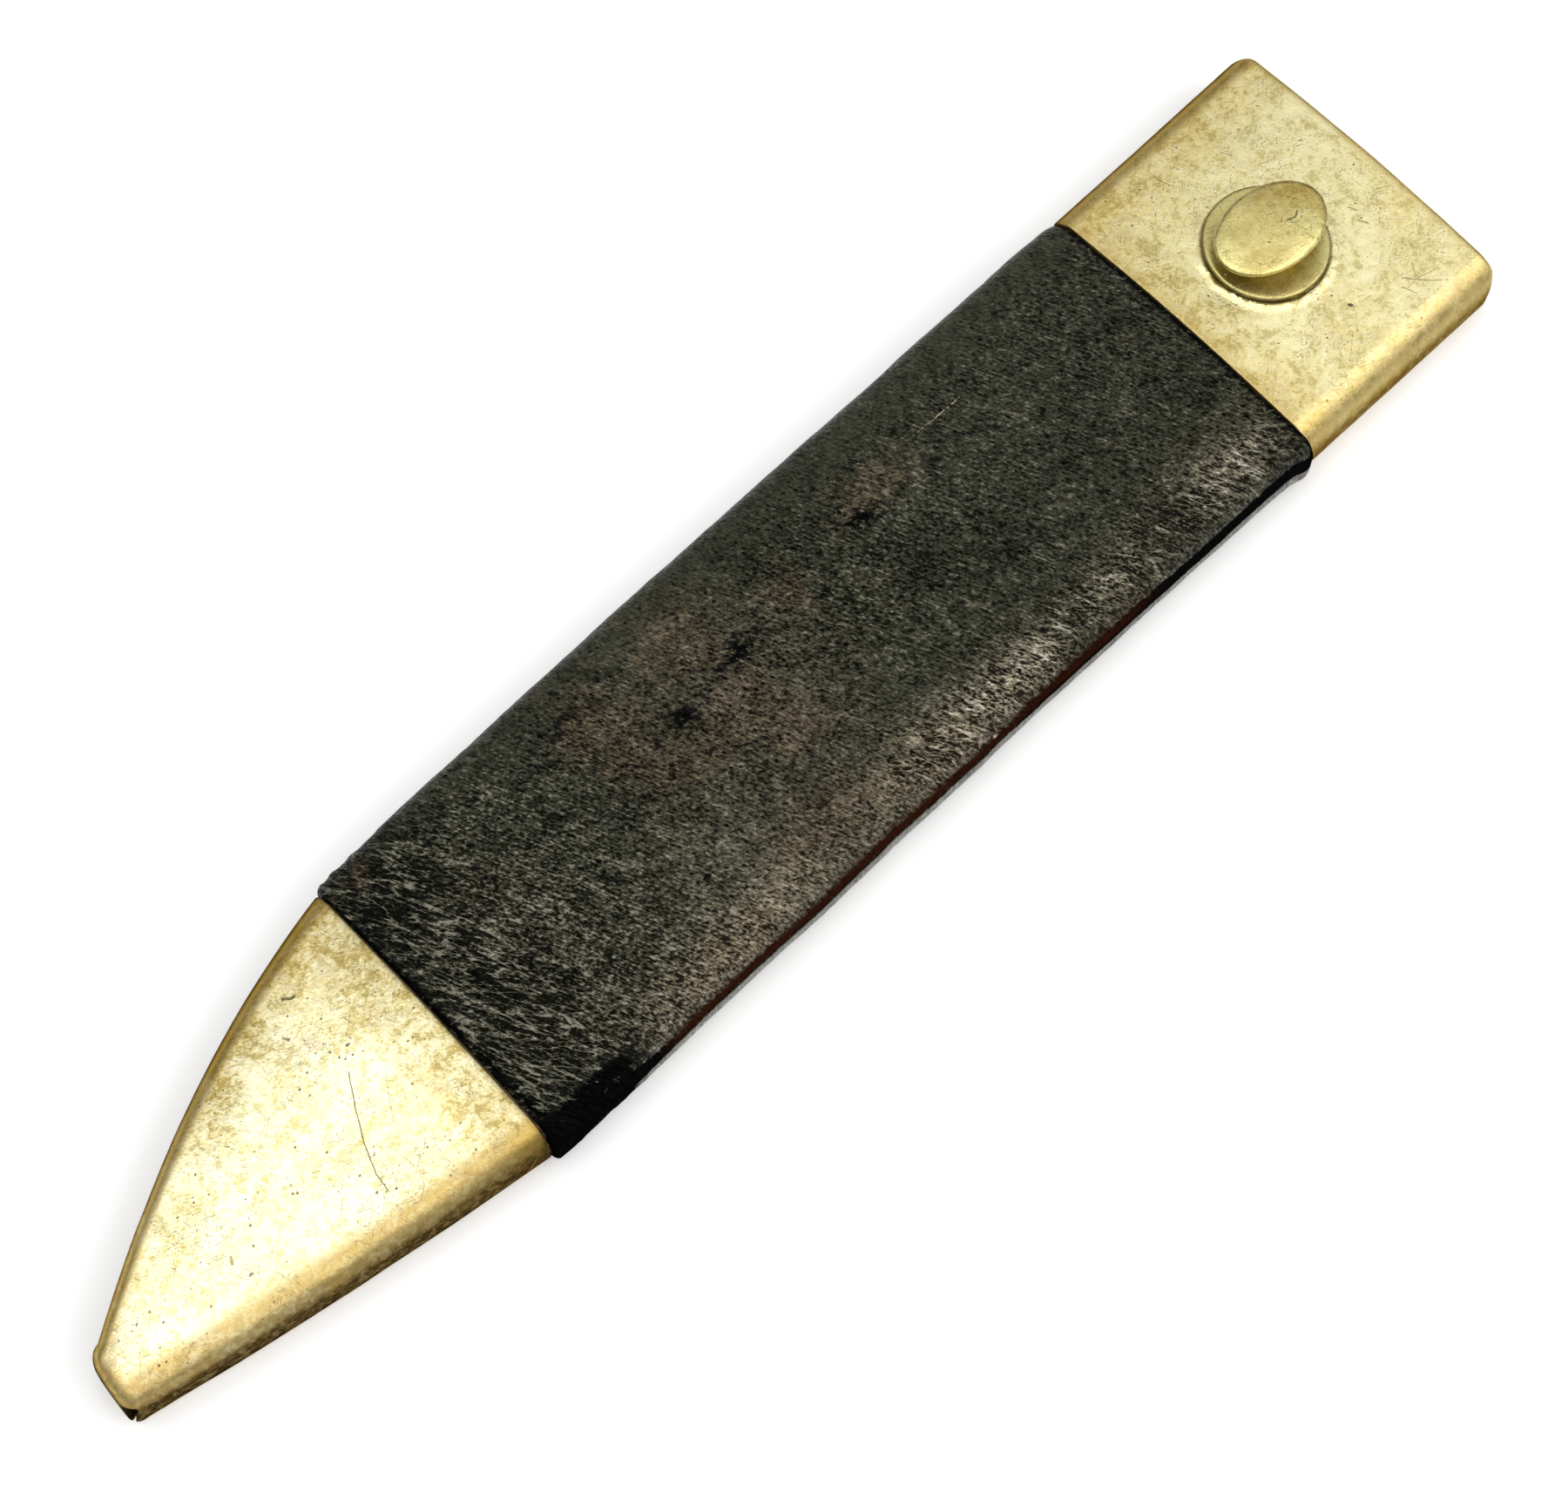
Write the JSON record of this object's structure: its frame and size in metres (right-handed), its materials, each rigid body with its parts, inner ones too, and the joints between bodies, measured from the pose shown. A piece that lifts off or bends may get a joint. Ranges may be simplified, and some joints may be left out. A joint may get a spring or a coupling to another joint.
{
  "type": "knife scabbard",
  "caption": "Flat leather-covered knife scabbard with a brass locket, an oval frog stud and a pointed brass chape.",
  "frame": {"origin": "under the middle of the whole scabbard as it lies on its back", "axes": "+X along the scabbard from the tip to the mouth, +Y across it to the side of the blade's edge, +Z out of the front, through the stud"},
  "size_m": [0.2014, 0.0414, 0.0142],
  "materials": {
    "locket_brass": "old polish, lightly pitted, brown in the corners",
    "stud_brass": "rubbed, dull gold",
    "chape_brass": "old polish, finely pitted, dark along the seam",
    "pin_brass": "filed flush, tarnished",
    "dark_leather": "aged black-brown, pored, semi-gloss, rubbed brown in patches",
    "waxed_thread": "waxed linen",
    "core_wood": "bare, dusty"
  },
  "bodies": {
    "root": {"locket_sleeve": "locket_brass", "locket_mouth_plate": "locket_brass", "locket_pin_edge": "pin_brass", "locket_pin_spine": "pin_brass", "stud": "stud_brass", "stud_base": "stud_brass", "stud_washer": "pin_brass", "leather_cover": "dark_leather", "seam_thread": "waxed_thread", "core_front_board": "core_wood", "core_back_board": "core_wood", "core_edge_strip": "core_wood", "core_spine_strip": "core_wood", "chape_front_shell": "chape_brass", "chape_back_plate": "chape_brass", "chape_pin_edge": "pin_brass", "chape_pin_spine": "pin_brass"}
  },
  "joints": []
}
